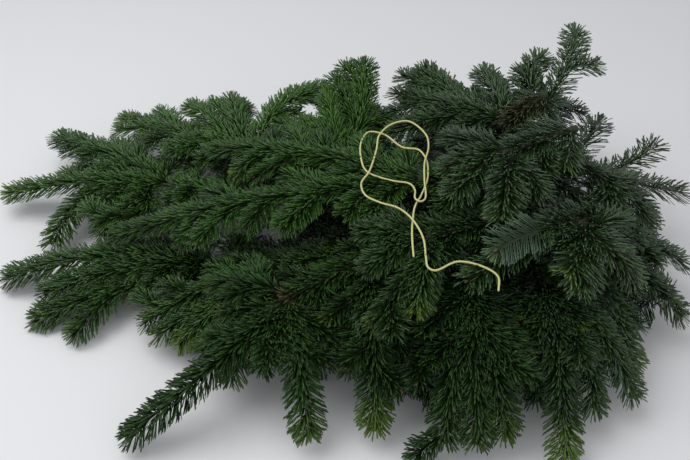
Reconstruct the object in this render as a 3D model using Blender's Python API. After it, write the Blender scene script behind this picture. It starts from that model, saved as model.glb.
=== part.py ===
# Bundle of cut fir branches with its tie string, lying on a flat surface.
# Metres, +Z up. X runs along the bundle, Y across it from front to back. The
# bundle rests on Z = 0, and the origin is under its middle, on the underside
# of the lowest bough.
#
# A shoot with its needles is a flattened, tapered brush as wide as the needles
# reach. A bough is a bare stem that carries on as its leading shoot, with side
# limbs from its main fork. The boughs are listed from the top of the heap down,
# and each one gives way to those above it.

import math

import bpy
import bmesh
from mathutils import Vector

# Brushes: a limb's width and depth over the needle tips, and those of its side shoots
LIMB_WIDTH = 0.044
LIMB_DEPTH = 0.020
SIDE_WIDTH = 0.040
SIDE_DEPTH = 0.021

# Corners of a limb's section and of a side shoot's, in half widths and half depths
HEXAGON = ((1.0, 0.0), (0.5, 1.0), (-0.5, 1.0), (-1.0, 0.0), (-0.5, -1.0), (0.5, -1.0))
RHOMBUS = ((1.0, 0.0), (0.0, 1.0), (-1.0, 0.0), (0.0, -1.0))

# How full a brush is at shares of the way along it
LIMB_FULLNESS = ((0.0, 0.55), (0.3, 1.0), (0.85, 0.92), (1.0, 0.40))
SIDE_FULLNESS = ((0.0, 0.55), (0.72, 1.0), (1.0, 0.42))
STEM_STEPS = (0.0, 0.5, 1.0)

STEM_RADIUS = 0.0048
GAP = 0.0004            # clearance between neighbouring pieces
GROW_SHARE = 0.035      # what a cutter's fullness gains, so that its thin end keeps the gap too
FLOOR_BLOCK = 1.4       # side of the block that trims the underside flat

STRING_DIAMETER = 0.0023
STRING_SHARES = (0.0, 0.5)      # where the tube has its points between two of the route's

NEEDLE_GREEN = (0.020, 0.055, 0.018, 1.0)
FRESH_GREEN = (0.045, 0.110, 0.020, 1.0)
STRING_YELLOW = (0.68, 0.66, 0.26, 1.0)

# Each bough has the cut end of its stem, its main fork and its limbs. A limb is
# (tip, crown, bow, pairs, side shoots): crown lifts its middle and bow swings it to
# the left, in metres. A pair is (share of the way along, length) and splays both
# ways, and a side shoot is (share of the way along, tip).
# The first limb is the leading shoot, in one piece with the stem.
BOUGHS = {
    "bough_01": ((0.272, -0.062, 0.208), (0.190, -0.103, 0.205), {
        "leader": ((0.105, -0.118, 0.186), 0.006, 0.000, [], [(0.20, (0.110, -0.172, 0.186))]),
        "back": ((0.116, -0.046, 0.188), 0.006, 0.006, [], []),
        "front": ((0.165, -0.212, 0.184), 0.010, 0.000, [], [(0.15, (0.222, -0.172, 0.186))]),
    }),
    "bough_02": ((0.252, 0.022, 0.204), (0.198, -0.018, 0.190), {
        "leader": ((0.070, 0.075, 0.164), 0.010, 0.000, [], [(0.25, (0.050, 0.002, 0.160))]),
        "back": ((0.128, 0.120, 0.196), 0.006, 0.000, [], [(0.35, (0.086, 0.128, 0.180))]),
        "far": ((0.190, 0.122, 0.190), 0.008, 0.000, [], [(0.40, (0.222, 0.104, 0.184))]),
    }),
    "bough_03": ((0.330, -0.120, 0.130), (0.262, -0.185, 0.168), {
        "leader": ((0.176, -0.232, 0.168), 0.010, 0.000, [], [(0.30, (0.118, -0.266, 0.148))]),
        "front": ((0.242, -0.278, 0.142), 0.014, 0.000, [(0.25, 0.050)], []),
        "right": ((0.322, -0.236, 0.116), 0.010, 0.000, [], [(0.15, (0.322, -0.150, 0.146))]),
    }),
    "bough_04": ((0.200, -0.150, 0.150), (0.098, -0.198, 0.158), {
        "leader": ((0.006, -0.176, 0.146), 0.008, 0.000, [(0.30, 0.045)], []),
        "left": ((0.012, -0.232, 0.136), 0.008, 0.000, [], []),
        "front": ((0.070, -0.290, 0.122), 0.012, 0.000, [], [(0.30, (0.022, -0.298, 0.110))]),
    }),
    "bough_05": ((0.170, 0.020, 0.150), (0.250, 0.030, 0.170), {
        "leader": ((0.322, 0.180, 0.222), 0.012, 0.000, [], [(0.45, (0.346, 0.112, 0.196))]),
        "left": ((0.271, 0.124, 0.214), 0.010, 0.000, [], [(0.25, (0.232, 0.110, 0.196))]),
        "down": ((0.330, 0.190, 0.050), 0.030, 0.000, [(0.60, 0.060)], [(0.30, (0.262, 0.170, 0.080))]),
    }),
    "bough_06": ((0.160, -0.060, 0.130), (0.275, -0.070, 0.160), {
        "leader": ((0.440, -0.030, 0.098), 0.016, 0.000, [(0.35, 0.070)], []),
        "back": ((0.428, 0.050, 0.118), 0.014, 0.000, [(0.45, 0.055)], []),
        "rear": ((0.336, 0.040, 0.165), 0.010, 0.000, [], [(0.40, (0.360, 0.010, 0.150))]),
        "front": ((0.372, -0.136, 0.114), 0.014, 0.000, [(0.35, 0.055)], []),
    }),
    "bough_07": ((0.220, -0.086, 0.146), (0.098, -0.100, 0.160), {
        "leader": ((-0.300, -0.085, 0.062), 0.022, 0.010,
                   [(0.07, 0.075), (0.30, 0.085), (0.56, 0.080)], []),
        "back": ((-0.190, 0.060, 0.096), 0.020, 0.006, [(0.20, 0.075), (0.50, 0.080)], []),
    }),
    "bough_08": ((0.120, -0.040, 0.110), (-0.010, -0.010, 0.128), {
        "leader": ((-0.022, 0.128, 0.150), 0.006, 0.000, [], [(0.20, (-0.066, 0.096, 0.122))]),
        "left": ((-0.112, 0.118, 0.106), 0.010, 0.000, [], [(0.20, (-0.110, 0.060, 0.106))]),
        "right": ((-0.004, 0.160, 0.176), 0.004, -0.030, [], [(0.45, (0.040, 0.160, 0.170))]),
        "down": ((0.050, 0.215, 0.056), 0.030, 0.000, [(0.30, 0.070), (0.58, 0.050)], []),
    }),
    "bough_09": ((0.052, -0.170, 0.118), (-0.062, -0.238, 0.104), {
        "leader": ((-0.237, -0.365, 0.016), 0.020, 0.000, [],
                   [(0.22, (-0.168, -0.268, 0.050)), (0.25, (-0.125, -0.335, 0.040))]),
        "left": ((-0.160, -0.196, 0.088), 0.010, 0.000, [(0.30, 0.050)], []),
        "front": ((-0.036, -0.374, 0.024), 0.022, 0.000, [], []),
        "middle": ((-0.084, -0.312, 0.030), 0.020, 0.000, [], []),
    }),
    "bough_10": ((0.030, -0.060, 0.096), (0.030, -0.215, 0.112), {
        "leader": ((0.032, -0.366, 0.024), 0.026, 0.000, [], []),
        "left": ((-0.002, -0.350, 0.040), 0.024, 0.000, [], []),
        "right": ((0.080, -0.366, 0.034), 0.026, 0.000, [], []),
    }),
    "bough_11": ((0.110, -0.090, 0.100), (0.132, -0.235, 0.120), {
        "leader": ((0.134, -0.392, 0.034), 0.026, 0.000, [], []),
        "left": ((0.100, -0.386, 0.030), 0.024, 0.000, [], [(0.70, (0.062, -0.390, 0.016))]),
        "right": ((0.170, -0.385, 0.036), 0.028, 0.000, [], []),
    }),
    "bough_12": ((0.170, -0.090, 0.090), (0.222, -0.215, 0.110), {
        "leader": ((0.225, -0.397, 0.016), 0.028, 0.000, [], []),
        "left": ((0.196, -0.368, 0.040), 0.026, 0.000, [], []),
        "right": ((0.310, -0.336, 0.028), 0.024, 0.000, [], [(0.40, (0.262, -0.350, 0.034))]),
    }),
    "bough_13": ((0.030, -0.140, 0.082), (-0.066, -0.165, 0.082), {
        "leader": ((-0.245, -0.212, 0.032), 0.016, 0.000, [(0.30, 0.060)], []),
        "front": ((-0.198, -0.250, 0.030), 0.014, 0.000, [(0.40, 0.045)], []),
    }),
    "bough_14": ((0.020, 0.030, 0.086), (-0.130, 0.045, 0.086), {
        "leader": ((-0.354, 0.226, 0.034), 0.012, 0.000, [(0.25, 0.065)], [(0.50, (-0.292, 0.214, 0.052))]),
        "middle": ((-0.236, 0.190, 0.082), 0.014, 0.000, [], []),
        "right": ((-0.170, 0.176, 0.112), 0.010, 0.000, [], []),
        "arch": ((-0.046, 0.196, 0.104), 0.040, 0.030, [], [(0.35, (-0.060, 0.150, 0.094))]),
    }),
    "bough_15": ((0.140, -0.130, 0.064), (0.262, -0.140, 0.094), {
        "leader": ((0.402, -0.212, 0.040), 0.024, 0.000, [(0.35, 0.060)], []),
        "front": ((0.326, -0.292, 0.034), 0.022, 0.000, [], [(0.45, (0.366, -0.262, 0.036))]),
        "back": ((0.424, -0.130, 0.056), 0.022, 0.000, [(0.40, 0.060)], []),
    }),
    "bough_16": ((-0.080, -0.010, 0.062), (-0.236, 0.036, 0.050), {
        "leader": ((-0.485, 0.050, 0.024), 0.010, 0.000, [], []),
        "front": ((-0.396, -0.056, 0.018), 0.014, 0.000, [], [(0.12, (-0.332, -0.048, 0.024))]),
        "back": ((-0.436, 0.168, 0.040), 0.012, 0.000, [], [(0.12, (-0.350, 0.146, 0.046))]),
    }),
    "bough_17": ((0.000, -0.110, 0.040), (-0.150, -0.115, 0.036), {
        "leader": ((-0.440, -0.112, 0.010), 0.020, 0.000, [], []),
        "middle": ((-0.382, -0.150, 0.022), 0.022, 0.000, [], []),
        "front": ((-0.384, -0.186, 0.009), 0.014, 0.000, [], [(0.55, (-0.330, -0.216, 0.009))]),
    }),
    "bough_18": ((0.080, -0.070, 0.060), (0.170, 0.030, 0.080), {
        "leader": ((0.205, 0.245, 0.024), 0.030, 0.000, [(0.40, 0.070)], []),
        "left": ((0.105, 0.235, 0.030), 0.026, 0.000, [], []),
        "right": ((0.360, 0.110, 0.040), 0.026, 0.000, [(0.45, 0.070)], []),
    }),
    "bough_19": ((0.110, -0.190, 0.010), (0.000, -0.110, 0.009), {
        "leader": ((-0.104, 0.226, 0.009), 0.000, 0.000, [(0.50, 0.080)], []),
        "middle": ((0.000, 0.240, 0.009), 0.000, 0.000, [(0.62, 0.060)], []),
        "right": ((0.130, 0.222, 0.009), 0.000, 0.000, [(0.50, 0.070)], []),
    }),
}

# The tie string's route over the top of the heap, from the end that sinks in among
# the needles, round its loops, over itself five times, to its free end.
STRING_ROUTE = [
    (0.0720, -0.2390, 0.1635), (0.0715, -0.2135, 0.1710), (0.0735, -0.1900, 0.1735),
    (0.0780, -0.1630, 0.1715), (0.0865, -0.1410, 0.1700), (0.0955, -0.1125, 0.1715),
    (0.0975, -0.0895, 0.1735), (0.0960, -0.0745, 0.1745), (0.0880, -0.0575, 0.1750),
    (0.0705, -0.0510, 0.1735), (0.0475, -0.0180, 0.1710), (0.0300, -0.0110, 0.1695),
    (0.0210, -0.0285, 0.1690), (0.0190, -0.0660, 0.1700), (0.0260, -0.0925, 0.1675),
    (0.0545, -0.1095, 0.1670), (0.0740, -0.1170, 0.1685), (0.0795, -0.1340, 0.1720),
    (0.0788, -0.1530, 0.1740), (0.0842, -0.1585, 0.1745), (0.0896, -0.1530, 0.1740),
    (0.0915, -0.1170, 0.1740), (0.0935, -0.0890, 0.1775), (0.1005, -0.0575, 0.1785),
    (0.0985, -0.0280, 0.1785), (0.0790, -0.0040, 0.1808), (0.0585, -0.0070, 0.1785),
    (0.0425, -0.0260, 0.1750), (0.0380, -0.0535, 0.1715), (0.0280, -0.0980, 0.1710),
    (0.0190, -0.1155, 0.1680), (0.0230, -0.1375, 0.1675), (0.0395, -0.1540, 0.1695),
    (0.0585, -0.1700, 0.1745), (0.0730, -0.1945, 0.1775), (0.0830, -0.2175, 0.1715),
    (0.0845, -0.2415, 0.1660), (0.0860, -0.2545, 0.1630), (0.0930, -0.2580, 0.1620),
    (0.1180, -0.2460, 0.1635), (0.1450, -0.2590, 0.1665), (0.1560, -0.2700, 0.1645),
    (0.1545, -0.2875, 0.1610),
]

PAIR_SPLAY = 0.80       # radians between a paired side shoot and its limb
PAIR_DROOP = 0.10       # how far it droops, as a share of its length

FRESH_BOUGHS = ("bough_08", "bough_13", "bough_14", "bough_17")


def linked(name, data, collection):
    """Put a new object in a collection."""
    item = bpy.data.objects.new(name, data)
    collection.objects.link(item)
    return item


def principled(name, colour, roughness):
    """Make one sub-part's material."""
    material = bpy.data.materials.new(name)
    material.use_nodes = True
    shader = material.node_tree.nodes["Principled BSDF"]
    shader.inputs["Base Color"].default_value = colour
    shader.inputs["Roughness"].default_value = roughness
    shader.inputs["Metallic"].default_value = 0.0
    return material


def arc_point(start, end, crown, bow, share):
    """Point at a share of the way along an arched shoot."""
    start, end = Vector(start), Vector(end)
    run = end - start
    left = Vector((-run.y, run.x, 0.0)).normalized()
    bulge = 4.0 * share * (1.0 - share)
    return start + run * share + Vector((0.0, 0.0, crown * bulge)) + left * (bow * bulge)


def flat_section(name, corners, width, depth, collection):
    """Flat section that a brush is swept from."""
    curve = bpy.data.curves.new(name, "CURVE")
    curve.dimensions = "2D"
    spline = curve.splines.new("POLY")
    spline.points.add(len(corners) - 1)
    for point, (across, up) in zip(spline.points, corners):
        point.co = (across * width / 2, up * depth / 2, 0.0, 1.0)
    spline.use_cyclic_u = True
    section = linked(name, curve, collection)
    section.hide_render = True
    section.display_type = "WIRE"
    return section


def tube(name, points, sizes, collection, section=None, radius=0.0, resolution=1):
    """Closed mesh tube along points, with a size at each."""
    curve = bpy.data.curves.new(name, "CURVE")
    curve.dimensions = "3D"
    curve.twist_mode = "Z_UP"
    curve.use_fill_caps = True
    if section:
        curve.bevel_mode = "OBJECT"
        curve.bevel_object = section
    else:
        curve.bevel_depth = radius
        curve.bevel_resolution = resolution
    spline = curve.splines.new("POLY")
    spline.points.add(len(points) - 1)
    for point, place, size in zip(spline.points, points, sizes):
        point.co = (*place, 1.0)
        point.radius = size
    item = linked(name + "_curve", curve, collection)
    bpy.context.view_layer.update()
    evaluated = item.evaluated_get(bpy.context.evaluated_depsgraph_get())
    mesh = bpy.data.meshes.new_from_object(evaluated)
    work = bmesh.new()
    work.from_mesh(mesh)
    bmesh.ops.remove_doubles(work, verts=work.verts, dist=0.00002)
    bmesh.ops.recalc_face_normals(work, faces=work.faces)
    work.to_mesh(mesh)
    work.free()
    mesh.name = name
    solid = linked(name, mesh, collection)
    solid.matrix_world = item.matrix_world
    bpy.data.objects.remove(item)
    return solid


def brush(name, start, end, crown, bow, side, grow, collection):
    """Brush of one shoot, or its cutter where it is grown by the clearance."""
    corners = RHOMBUS if side else HEXAGON
    fullness = SIDE_FULLNESS if side else LIMB_FULLNESS
    width = SIDE_WIDTH if side else LIMB_WIDTH
    depth = SIDE_DEPTH if side else LIMB_DEPTH
    section = flat_section(name + "_section", corners, width + 2 * grow, depth + 2 * grow, collection)
    points = [arc_point(start, end, crown, bow, share) for share, size in fullness]
    points[-1] += (points[-1] - points[-2]).normalized() * grow
    sizes = [size for share, size in fullness]
    if grow:
        sizes = [size + GROW_SHARE for size in sizes]
    solid = tube(name, points, sizes, collection, section=section)
    bpy.data.objects.remove(section)
    return solid


def evaluated_mesh(item):
    """The mesh that an object's modifiers make."""
    bpy.context.view_layer.update()
    depsgraph = bpy.context.evaluated_depsgraph_get()
    return bpy.data.meshes.new_from_object(item.evaluated_get(depsgraph))


def combine(item, others, operation):
    """Join or cut an object with a list of others by one exact Boolean."""
    group = bpy.data.collections.new(item.name + "_tools")
    for other in others:
        group.objects.link(other)
    modifier = item.modifiers.new("combine", "BOOLEAN")
    modifier.operation = operation
    modifier.operand_type = "COLLECTION"
    modifier.collection = group
    modifier.solver = "EXACT"
    mesh = evaluated_mesh(item)
    item.modifiers.clear()
    item.data = mesh
    bpy.data.collections.remove(group)


def keep_largest(item):
    """Delete the loose crumbs that a cut leaves, and tidy the mesh."""
    work = bmesh.new()
    work.from_mesh(item.data)
    islands = []
    unseen = set(work.verts)
    while unseen:
        stack = [unseen.pop()]
        island = set(stack)
        while stack:
            for edge in stack.pop().link_edges:
                for vert in edge.verts:
                    if vert in unseen:
                        unseen.discard(vert)
                        island.add(vert)
                        stack.append(vert)
        islands.append(island)
    islands.sort(key=size_of, reverse=True)
    crumbs = [vert for island in islands[1:] for vert in island]
    bmesh.ops.delete(work, geom=crumbs, context="VERTS")
    work.to_mesh(item.data)
    work.free()


def size_of(island):
    """Diagonal of the box around some vertices."""
    low = Vector([min(vert.co[axis] for vert in island) for axis in range(3)])
    high = Vector([max(vert.co[axis] for vert in island) for axis in range(3)])
    return (high - low).length


def limb_solids(name, fork, limb, grow, collection):
    """All brushes of one limb: the shoot itself, then its side shoots."""
    tip, crown, bow, pairs, sides = limb
    solids = [brush(name, fork, tip, crown, bow, False, grow, collection)]
    for number, (share, side_tip) in enumerate(sides + splayed(fork, limb)):
        start = arc_point(fork, tip, crown, bow, share)
        solids.append(brush(f"{name}_side{number}", start, side_tip, 0.003, 0.0, True, grow, collection))
    return solids


def splayed(fork, limb):
    """Side shoots of a limb's pairs, each as its share and its tip."""
    tip, crown, bow, pairs, sides = limb
    shoots = []
    for share, length in pairs:
        start = arc_point(fork, tip, crown, bow, share)
        ahead = (arc_point(fork, tip, crown, bow, share + 0.05) - start).normalized()
        left = Vector((-ahead.y, ahead.x, 0.0)).normalized()
        for way in (-1, 1):
            run = ahead * math.cos(PAIR_SPLAY) + left * (way * math.sin(PAIR_SPLAY))
            end = start + run * length - Vector((0.0, 0.0, PAIR_DROOP * length))
            end.z = max(end.z, LIMB_DEPTH * 0.45)
            shoots.append((share, tuple(end)))
    return shoots


def stem_solid(name, butt, fork, grow, collection):
    """Bare stem from the cut end to the main fork."""
    reach = Vector(fork) + (Vector(fork) - Vector(butt)).normalized() * 0.015
    points = [Vector(butt).lerp(reach, share) for share in STEM_STEPS]
    sizes = [1.0, 0.92, 0.84]
    return tube(name, points, sizes, collection, radius=STEM_RADIUS + grow, resolution=1)


def node_solids(bough, key, grow, collection):
    """Solids that make one node, plain or grown by the clearance."""
    butt, fork, limbs = BOUGHS[bough]
    leading = key == next(iter(limbs))
    label = bough if leading else f"{bough}_{key}"
    solids = limb_solids(label, fork, limbs[key], grow, collection)
    if leading:
        solids.append(stem_solid(label + "_stem", butt, fork, grow, collection))
    return solids


def box_of(item):
    """Lowest and highest corner of an object."""
    corners = [item.matrix_world @ Vector(corner) for corner in item.bound_box]
    low = [min(corner[axis] for corner in corners) for axis in range(3)]
    high = [max(corner[axis] for corner in corners) for axis in range(3)]
    return low, high


def near(first, second):
    """Whether the boxes of two objects meet."""
    low_a, high_a = box_of(first)
    low_b, high_b = box_of(second)
    return all(low_a[axis] <= high_b[axis] and low_b[axis] <= high_a[axis] for axis in range(3))


def floor_block(collection):
    """Block under Z = 0 that trims the underside flat."""
    mesh = bpy.data.meshes.new("floor_block")
    work = bmesh.new()
    bmesh.ops.create_cube(work, size=FLOOR_BLOCK)
    work.to_mesh(mesh)
    work.free()
    block = linked("floor_block", mesh, collection)
    block.location = (0.0, 0.0, -FLOOR_BLOCK / 2)
    return block


def build_boughs(parts, tools):
    """Make every bough, each node cut by the grown brushes of those above it."""
    block = floor_block(tools)
    green = principled("needle_green", NEEDLE_GREEN, 0.5)
    fresh = principled("fresh_green", FRESH_GREEN, 0.5)
    cutters = []
    for bough, (butt, fork, limbs) in BOUGHS.items():
        for key in limbs:
            solids = node_solids(bough, key, 0.0, parts)
            node, rest = solids[0], solids[1:]
            if rest:
                combine(node, rest, "UNION")
                for item in rest:
                    bpy.data.objects.remove(item)
            bpy.context.view_layer.update()
            touching = [cutter for cutter in cutters if near(node, cutter)]
            if box_of(node)[0][2] < 0.0:
                touching.append(block)
            if touching:
                combine(node, touching, "DIFFERENCE")
            keep_largest(node)
            node.data.materials.clear()
            node.data.materials.append(fresh if bough in FRESH_BOUGHS else green)
            cutters.extend(node_solids(bough, key, GAP, tools))
    for item in tools.objects:
        item.hide_render = True
        item.display_type = "WIRE"


def smooth_point(before, start, end, after, share):
    """Point between start and end on a centripetal curve through all four."""
    knots = [0.0]
    for first, second in ((before, start), (start, end), (end, after)):
        knots.append(knots[-1] + math.sqrt((second - first).length))
    time = knots[1] + (knots[2] - knots[1]) * share

    def between(first, second, low, high):
        return first.lerp(second, (time - knots[low]) / (knots[high] - knots[low]))

    one = between(before, start, 0, 1)
    two = between(start, end, 1, 2)
    three = between(end, after, 2, 3)
    return between(between(one, two, 0, 2), between(two, three, 1, 3), 1, 2)


def build_string(parts):
    """The tie string, one tube of its true diameter along its route."""
    route = [Vector(point) for point in STRING_ROUTE]
    route = [2 * route[0] - route[1]] + route + [2 * route[-1] - route[-2]]
    points = []
    for number in range(1, len(route) - 2):
        points += [smooth_point(*route[number - 1:number + 3], share) for share in STRING_SHARES]
    points.append(route[-2])
    string = tube("tie_string", points, [1.0] * len(points), parts,
                  radius=STRING_DIAMETER / 2, resolution=2)
    string.data.shade_smooth()
    string.data.materials.append(principled("string_yellow", STRING_YELLOW, 0.7))


def main():
    for item in list(bpy.data.objects):
        bpy.data.objects.remove(item)
    parts = bpy.data.collections.new("fir_branch_bundle")
    tools = bpy.data.collections.new("cutters")
    for collection in (parts, tools):
        bpy.context.scene.collection.children.link(collection)
    build_boughs(parts, tools)
    build_string(parts)


main()
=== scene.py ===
import math

import bpy
import numpy as np
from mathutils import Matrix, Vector


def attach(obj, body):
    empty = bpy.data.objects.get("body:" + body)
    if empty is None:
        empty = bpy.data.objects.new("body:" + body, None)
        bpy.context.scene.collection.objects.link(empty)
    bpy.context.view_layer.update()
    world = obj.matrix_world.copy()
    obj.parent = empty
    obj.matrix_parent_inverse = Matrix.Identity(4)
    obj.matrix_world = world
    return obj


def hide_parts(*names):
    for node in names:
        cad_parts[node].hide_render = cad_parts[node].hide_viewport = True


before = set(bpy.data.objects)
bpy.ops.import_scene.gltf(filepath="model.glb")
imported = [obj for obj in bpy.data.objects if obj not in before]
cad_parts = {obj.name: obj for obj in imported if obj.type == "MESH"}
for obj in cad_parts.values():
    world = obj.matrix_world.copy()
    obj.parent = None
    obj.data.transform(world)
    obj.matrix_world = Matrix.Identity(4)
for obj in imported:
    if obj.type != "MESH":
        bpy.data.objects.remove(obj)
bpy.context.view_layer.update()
scene = bpy.context.scene
scene.view_settings.view_transform = "Standard"
print("frame loaded,", len(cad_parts), "solids")


# Where the camera stands, from the focal length in pixels of a 690 x 460 picture
view = {"focal": 838.0, "picture": (690.0, 460.0), "sensor": 36.0, "height": 0.75, "pitch": 40.0}


def placeCamera():
    camera = bpy.data.objects.new("camera", bpy.data.cameras.new("camera"))
    scene.collection.objects.link(camera)
    back = view["height"] / math.tan(math.radians(view["pitch"]))
    camera.location = (0, -back, view["height"])
    camera.rotation_euler = (math.radians(90 - view["pitch"]), 0, 0)
    camera.data.sensor_width = view["sensor"]
    camera.data.lens = view["focal"] / view["picture"][0] * view["sensor"]
    scene.camera = camera


placeCamera()


# A socket in a material's nodes, so that a pattern is written as plain arithmetic
class Socket:
    def __init__(self, tree, plug=None):
        self.tree = tree
        self.plug = plug

    def node(self, kind, settings=None, values=None, out=0):
        made = self.tree.nodes.new(kind)
        for name, value in (settings or {}).items():
            setattr(made, name, value)
        for name, value in (values or {}).items():
            if isinstance(value, Socket):
                self.tree.links.new(value.plug, made.inputs[name])
            else:
                made.inputs[name].default_value = value
        return Socket(self.tree, made.outputs[out])

    def maths(self, operation, first, second, clamp=False):
        settings = {"operation": operation, "use_clamp": clamp}
        return self.node("ShaderNodeMath", settings, {0: first, 1: second})

    def __add__(self, other):
        return self.maths("ADD", self, other)

    def __radd__(self, other):
        return self.maths("ADD", other, self)

    def __sub__(self, other):
        return self.maths("SUBTRACT", self, other)

    def __rsub__(self, other):
        return self.maths("SUBTRACT", other, self)

    def __mul__(self, other):
        return self.maths("MULTIPLY", self, other)

    def __rmul__(self, other):
        return self.maths("MULTIPLY", other, self)

    def clamped(self):
        return self.maths("ADD", self, 0.0, clamp=True)

    def blend(self, factor, first, second):
        settings = {"data_type": "RGBA", "clamp_factor": True}
        first = first if isinstance(first, Socket) else (*first, 1)
        second = second if isinstance(second, Socket) else (*second, 1)
        return self.node("ShaderNodeMix", settings, {0: factor, 6: first, 7: second}, out=2)

    def attribute(self, name):
        return self.node("ShaderNodeAttribute", {"attribute_name": name}, out=2)     # its value

    def noise(self, scale, detail=2.0, roughness=0.5):
        where = self.node("ShaderNodeTexCoord", out=3)       # the object's own coordinates
        values = {"Vector": where, "Scale": scale, "Detail": detail, "Roughness": roughness}
        return self.node("ShaderNodeTexNoise", None, values)

    def bump(self, height, strength, distance):
        values = {"Height": height, "Strength": strength, "Distance": distance}
        return self.node("ShaderNodeBump", None, values)


def newMaterial(name, fixed):
    material = bpy.data.materials.new(name)
    material.use_nodes = True
    shader = material.node_tree.nodes["Principled BSDF"]
    for key, value in fixed.items():
        shader.inputs[key].default_value = value
    return material, Socket(material.node_tree), shader


def feed(shader, name, socket):
    socket.tree.links.new(socket.plug, shader.inputs[name])


def addPiece(name, mesh, materials, nodes=()):
    piece = bpy.data.objects.new(name, mesh)
    scene.collection.objects.link(piece)
    for material in materials:
        mesh.materials.append(material)
    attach(piece, "root")
    if nodes:
        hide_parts(*nodes)
    return piece


def meshFrom(name, points, corners, sizes, faceMaterials=None):
    # corners lists every face's vertices one after another, sizes how many each face has
    mesh = bpy.data.meshes.new(name)
    mesh.vertices.add(len(points))
    mesh.vertices.foreach_set("co", np.asarray(points, np.float32).ravel())
    mesh.loops.add(len(corners))
    mesh.loops.foreach_set("vertex_index", np.asarray(corners, np.int32))
    mesh.polygons.add(len(sizes))
    starts = np.concatenate([[0], np.cumsum(sizes)[:-1]])
    mesh.polygons.foreach_set("loop_start", starts.astype(np.int32))
    if faceMaterials is not None:
        mesh.polygons.foreach_set("material_index", np.asarray(faceMaterials, np.int32))
    mesh.update(calc_edges=True)
    return mesh


def addValues(mesh, name, domain, values):
    layer = mesh.attributes.new(name, "FLOAT", domain)
    layer.data.foreach_set("value", np.asarray(values, np.float32).ravel())


# The tie string: three twisted plies along the route that its solid follows
tie = {
    "diameter": 0.0023,
    "length": 1.03,
    "step": 0.0014,          # between rings of the mesh
    "fine": 16,              # points worked out between two of the route's
    "sides": 9,
    "plies": 3,
    "groove": 0.16,          # how deep the plies' grooves are, as a share of the radius
    "twistLength": 0.0095,   # along the string for one full turn
    "endWidth": 0.55,        # as a share of the string's
    "endLength": 0.002,
    "colour": (0.70, 0.67, 0.28),
    "shade": (0.46, 0.45, 0.15),
    "fibre": (0.80, 0.78, 0.46),
    "stain": (0.52, 0.50, 0.17),
}
tieRoute = [
    (0.0720, -0.2390, 0.1635), (0.0715, -0.2135, 0.1710), (0.0735, -0.1900, 0.1735),
    (0.0780, -0.1630, 0.1715), (0.0865, -0.1410, 0.1700), (0.0955, -0.1125, 0.1715),
    (0.0975, -0.0895, 0.1735), (0.0960, -0.0745, 0.1745), (0.0880, -0.0575, 0.1750),
    (0.0705, -0.0510, 0.1735), (0.0475, -0.0180, 0.1710), (0.0300, -0.0110, 0.1695),
    (0.0210, -0.0285, 0.1690), (0.0190, -0.0660, 0.1700), (0.0260, -0.0925, 0.1675),
    (0.0545, -0.1095, 0.1670), (0.0740, -0.1170, 0.1685), (0.0795, -0.1340, 0.1720),
    (0.0788, -0.1530, 0.1740), (0.0842, -0.1585, 0.1745), (0.0896, -0.1530, 0.1740),
    (0.0915, -0.1170, 0.1740), (0.0935, -0.0890, 0.1775), (0.1005, -0.0575, 0.1785),
    (0.0985, -0.0280, 0.1785), (0.0790, -0.0040, 0.1808), (0.0585, -0.0070, 0.1785),
    (0.0425, -0.0260, 0.1750), (0.0380, -0.0535, 0.1715), (0.0280, -0.0980, 0.1710),
    (0.0190, -0.1155, 0.1680), (0.0230, -0.1375, 0.1675), (0.0395, -0.1540, 0.1695),
    (0.0585, -0.1700, 0.1745), (0.0730, -0.1945, 0.1775), (0.0830, -0.2175, 0.1715),
    (0.0845, -0.2415, 0.1660), (0.0860, -0.2545, 0.1630), (0.0930, -0.2580, 0.1620),
    (0.1180, -0.2460, 0.1635), (0.1450, -0.2590, 0.1665), (0.1560, -0.2700, 0.1645),
    (0.1545, -0.2875, 0.1610),
]


def smoothPoint(before, start, end, after, share):
    # centripetal curve through four points, read between the middle two
    knots = [0.0]
    for one, two in ((before, start), (start, end), (end, after)):
        knots.append(knots[-1] + math.sqrt((two - one).length))
    time = knots[1] + (knots[2] - knots[1]) * share

    def between(one, two, low, high):
        return one.lerp(two, (time - knots[low]) / (knots[high] - knots[low]))

    first = between(before, start, 0, 1)
    middle = between(start, end, 1, 2)
    last = between(end, after, 2, 3)
    return between(between(first, middle, 0, 2), between(middle, last, 1, 3), 1, 2)


def tieCentreline():
    route = [Vector(point) for point in tieRoute]
    route = [2 * route[0] - route[1]] + route + [2 * route[-1] - route[-2]]
    fine = []
    for number in range(1, len(route) - 2):
        four = route[number - 1:number + 3]
        fine += [smoothPoint(*four, part / tie["fine"]) for part in range(tie["fine"])]
    fine.append(route[-2])
    fine = np.array([tuple(point) for point in fine])
    along = np.concatenate([[0], np.cumsum(np.linalg.norm(np.diff(fine, axis=0), axis=1))])
    even = np.linspace(0, along[-1], int(along[-1] / tie["step"]) + 1)
    return np.stack([np.interp(even, along, fine[:, axis]) for axis in range(3)], axis=1), even


def makeTieMaterial():
    material, sky, shader = newMaterial("tie_yarn", {"Roughness": 0.75, "Sheen Weight": 0.25})
    groove = sky.attribute("groove")
    fibres = sky.noise(900.0, 3.0, 0.6)
    stain = sky.noise(30.0, 2.0)
    # painted shade: the string is darker where the grooves between its plies are deep
    colour = sky.blend(groove, tie["colour"], tie["shade"])
    colour = sky.blend((fibres - 0.45).clamped() * 0.9, colour, tie["fibre"])
    colour = sky.blend((stain - 0.5).clamped() * 1.2, colour, tie["stain"])
    feed(shader, "Base Color", colour)
    feed(shader, "Normal", sky.bump(fibres, 0.35, 0.0004))
    return material


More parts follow.
